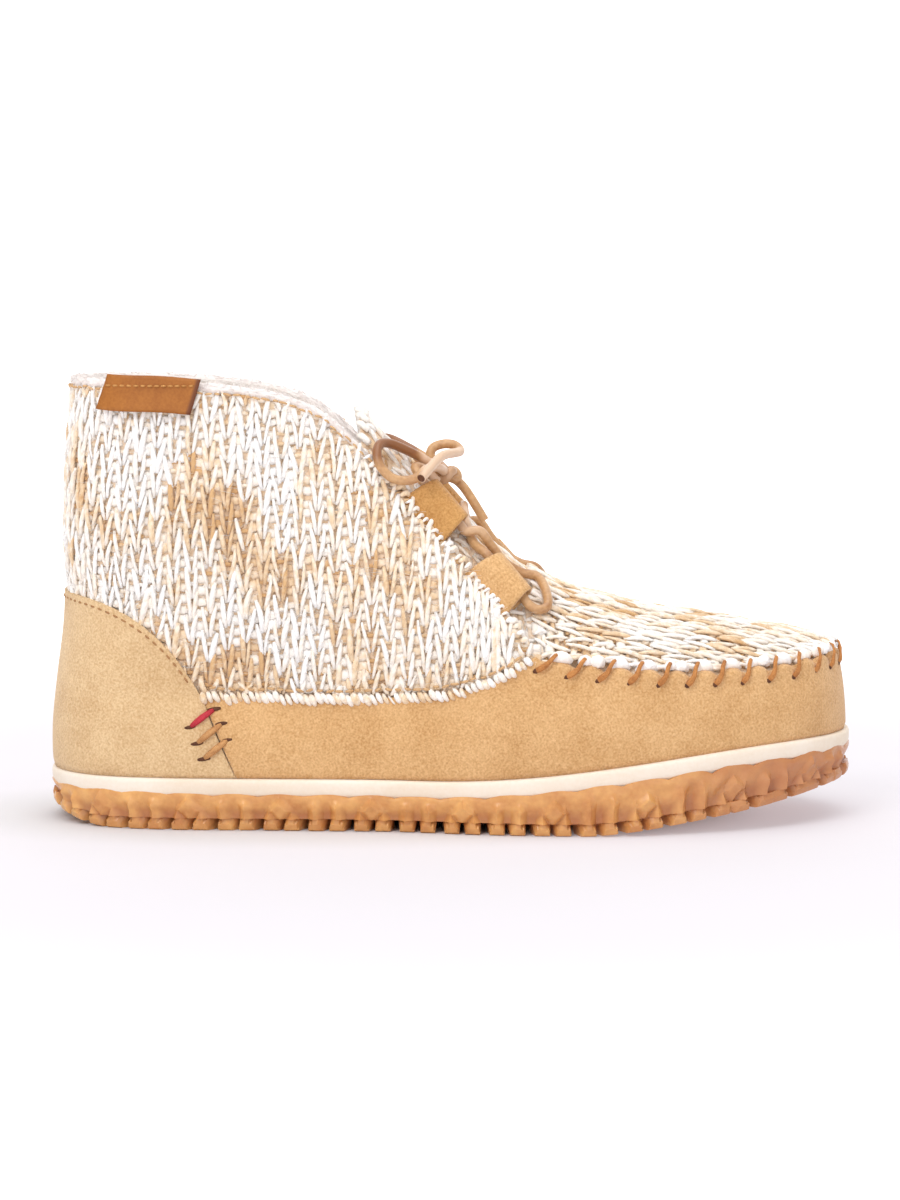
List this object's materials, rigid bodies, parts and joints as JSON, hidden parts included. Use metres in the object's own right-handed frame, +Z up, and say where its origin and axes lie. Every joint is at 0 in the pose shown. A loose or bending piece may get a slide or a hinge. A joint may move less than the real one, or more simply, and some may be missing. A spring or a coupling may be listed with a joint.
{
  "type": "slipper bootie",
  "caption": "Ankle-high slipper bootie: knitted upper in a suede moccasin wrap, lace with bow, cream midsole and lugged gum sole, for the right foot.",
  "frame": {"origin": "on the floor, under the middle of the sole", "axes": "+X towards the toe, +Y towards the inner side of the foot, +Z up"},
  "size_m": [0.2585, 0.0976, 0.142],
  "materials": {
    "knit": "chunky space-dyed knit",
    "suede": "napped suede",
    "fleece": "fleece pile",
    "cream_rubber": "matt",
    "gum_rubber": "satin, slightly translucent",
    "tag_leather": "smooth cognac",
    "lace_leather": "rolled leather"
  },
  "bodies": {
    "root": {"upper": "knit", "tongue": "knit", "insole": "fleece", "midsole": "cream_rubber", "outsole": "gum_rubber", "collar_tag": "tag_leather", "lace_run": "lace_leather", "moccasin_wrap": "suede", "heel_counter": "suede", "lace_tunnel_upper_outer": "suede", "lace_tunnel_upper_inner": "suede", "lace_tunnel_lower_outer": "suede", "lace_tunnel_lower_inner": "suede", "lace_knot": "lace_leather", "lace_bow_outer": "lace_leather", "lace_bow_inner": "lace_leather", "lace_end_outer": "lace_leather", "lace_end_inner": "lace_leather"}
  },
  "joints": []
}
